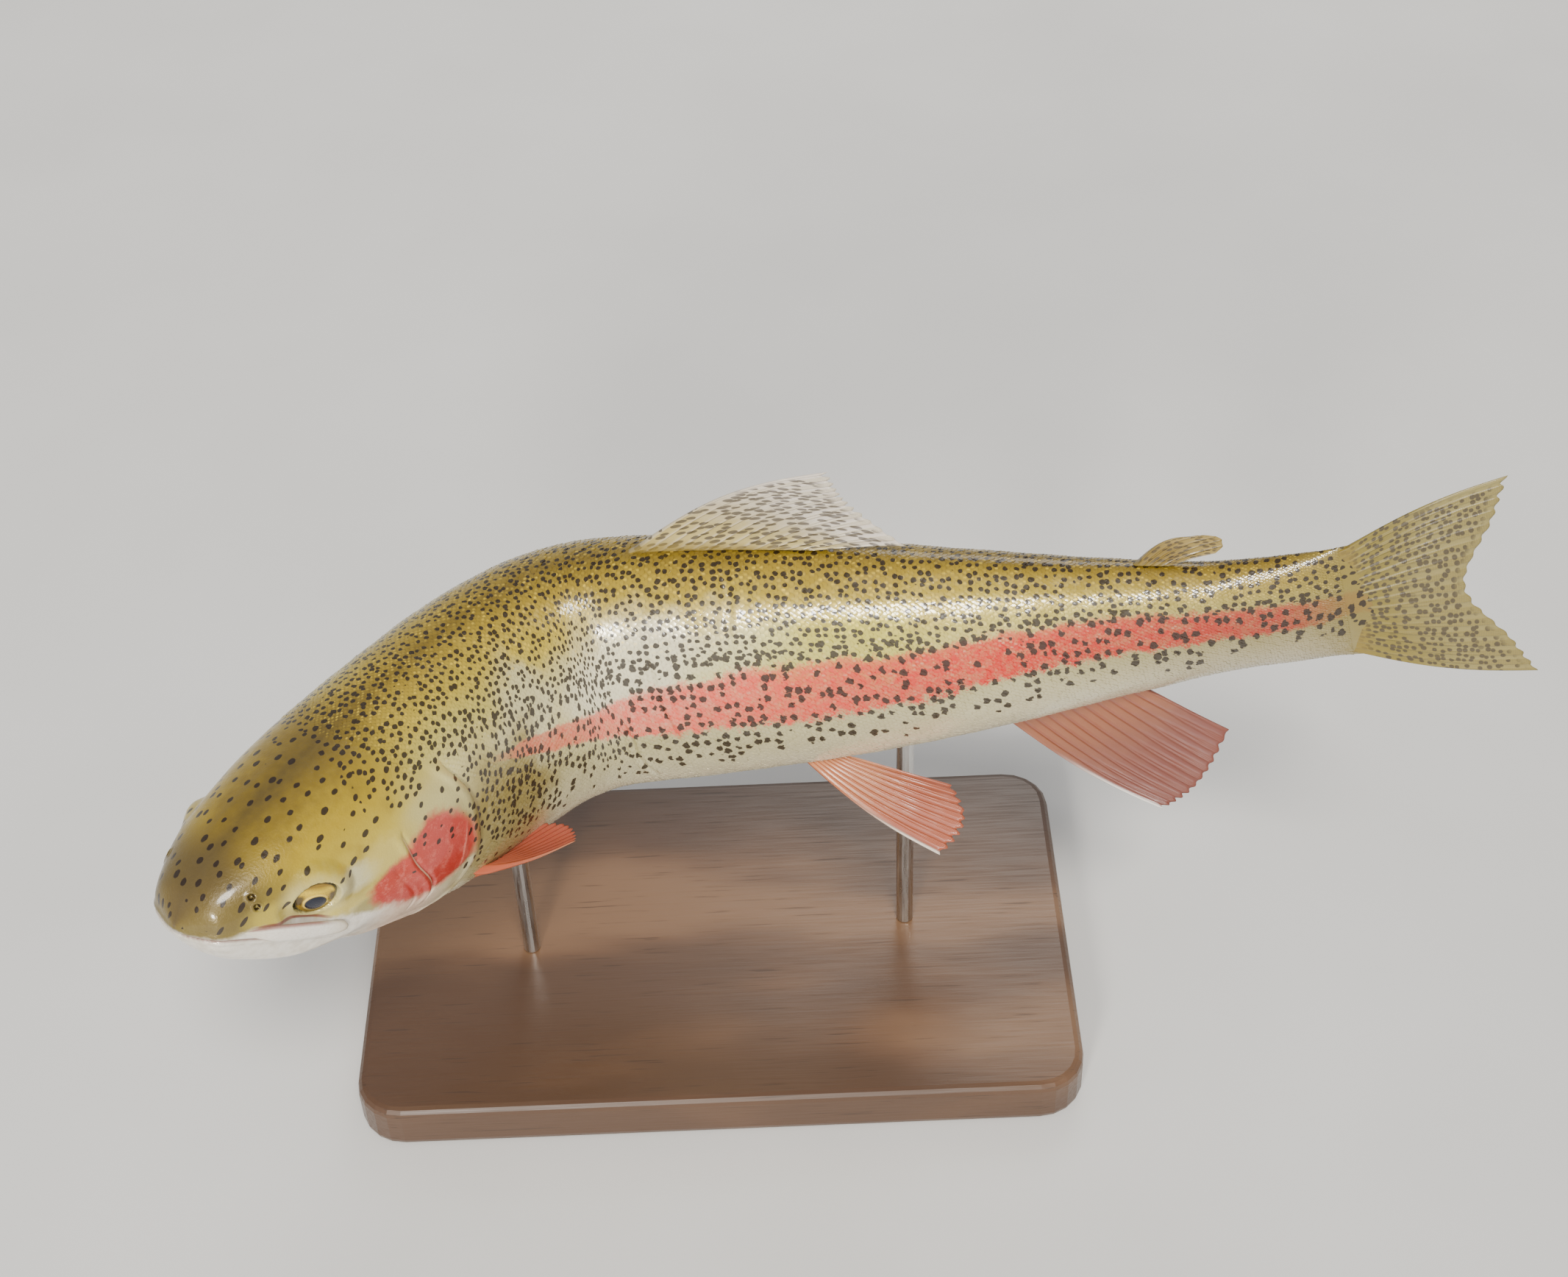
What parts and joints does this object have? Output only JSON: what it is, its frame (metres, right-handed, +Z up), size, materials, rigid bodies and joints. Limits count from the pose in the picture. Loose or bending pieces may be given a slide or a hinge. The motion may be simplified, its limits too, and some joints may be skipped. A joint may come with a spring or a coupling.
{
  "type": "rainbow trout museum model on a display stand",
  "caption": "Life-size still model of a rainbow trout with its head turned to the left, held over a flat base by two short rods.",
  "frame": {"origin": "on the floor under the middle of the model's box", "axes": "+X from the head towards the tail, -Y the fish's left side at mid-body, +Z up"},
  "size_m": [0.425, 0.195, 0.2328],
  "materials": {
    "skin": "wet scaled skin, olive back, silvery belly, dark spots and a pink band along the side",
    "jaw": "smooth wet whitish skin",
    "gill_cover": "smooth wet skin, pink to orange-red with a pearly sheen",
    "eye": "clear gloss over a gold iris and a dark pupil",
    "fin": "wet translucent grey-olive membrane over fine rays, dark spots",
    "ruddy_fin": "wet translucent orange-red membrane over fine rays",
    "stand_wood": "satin dark walnut",
    "stand_steel": "brushed"
  },
  "bodies": {
    "root": {"head": "skin", "trunk_front": "skin", "trunk_middle": "skin", "tail_stalk": "skin", "lower_jaw": "jaw", "maxilla_left": "jaw", "maxilla_right": "jaw", "gill_cover_left": "gill_cover", "gill_cover_right": "gill_cover", "eye_left": "eye", "eye_right": "eye", "dorsal_fin": "fin", "adipose_fin": "fin", "tail_fin": "fin", "anal_fin": "ruddy_fin", "pectoral_fin_left": "ruddy_fin", "pectoral_fin_right": "ruddy_fin", "pelvic_fin_left": "ruddy_fin", "pelvic_fin_right": "ruddy_fin", "stand_base": "stand_wood", "stand_rod_front": "stand_steel", "stand_rod_rear": "stand_steel"}
  },
  "joints": []
}
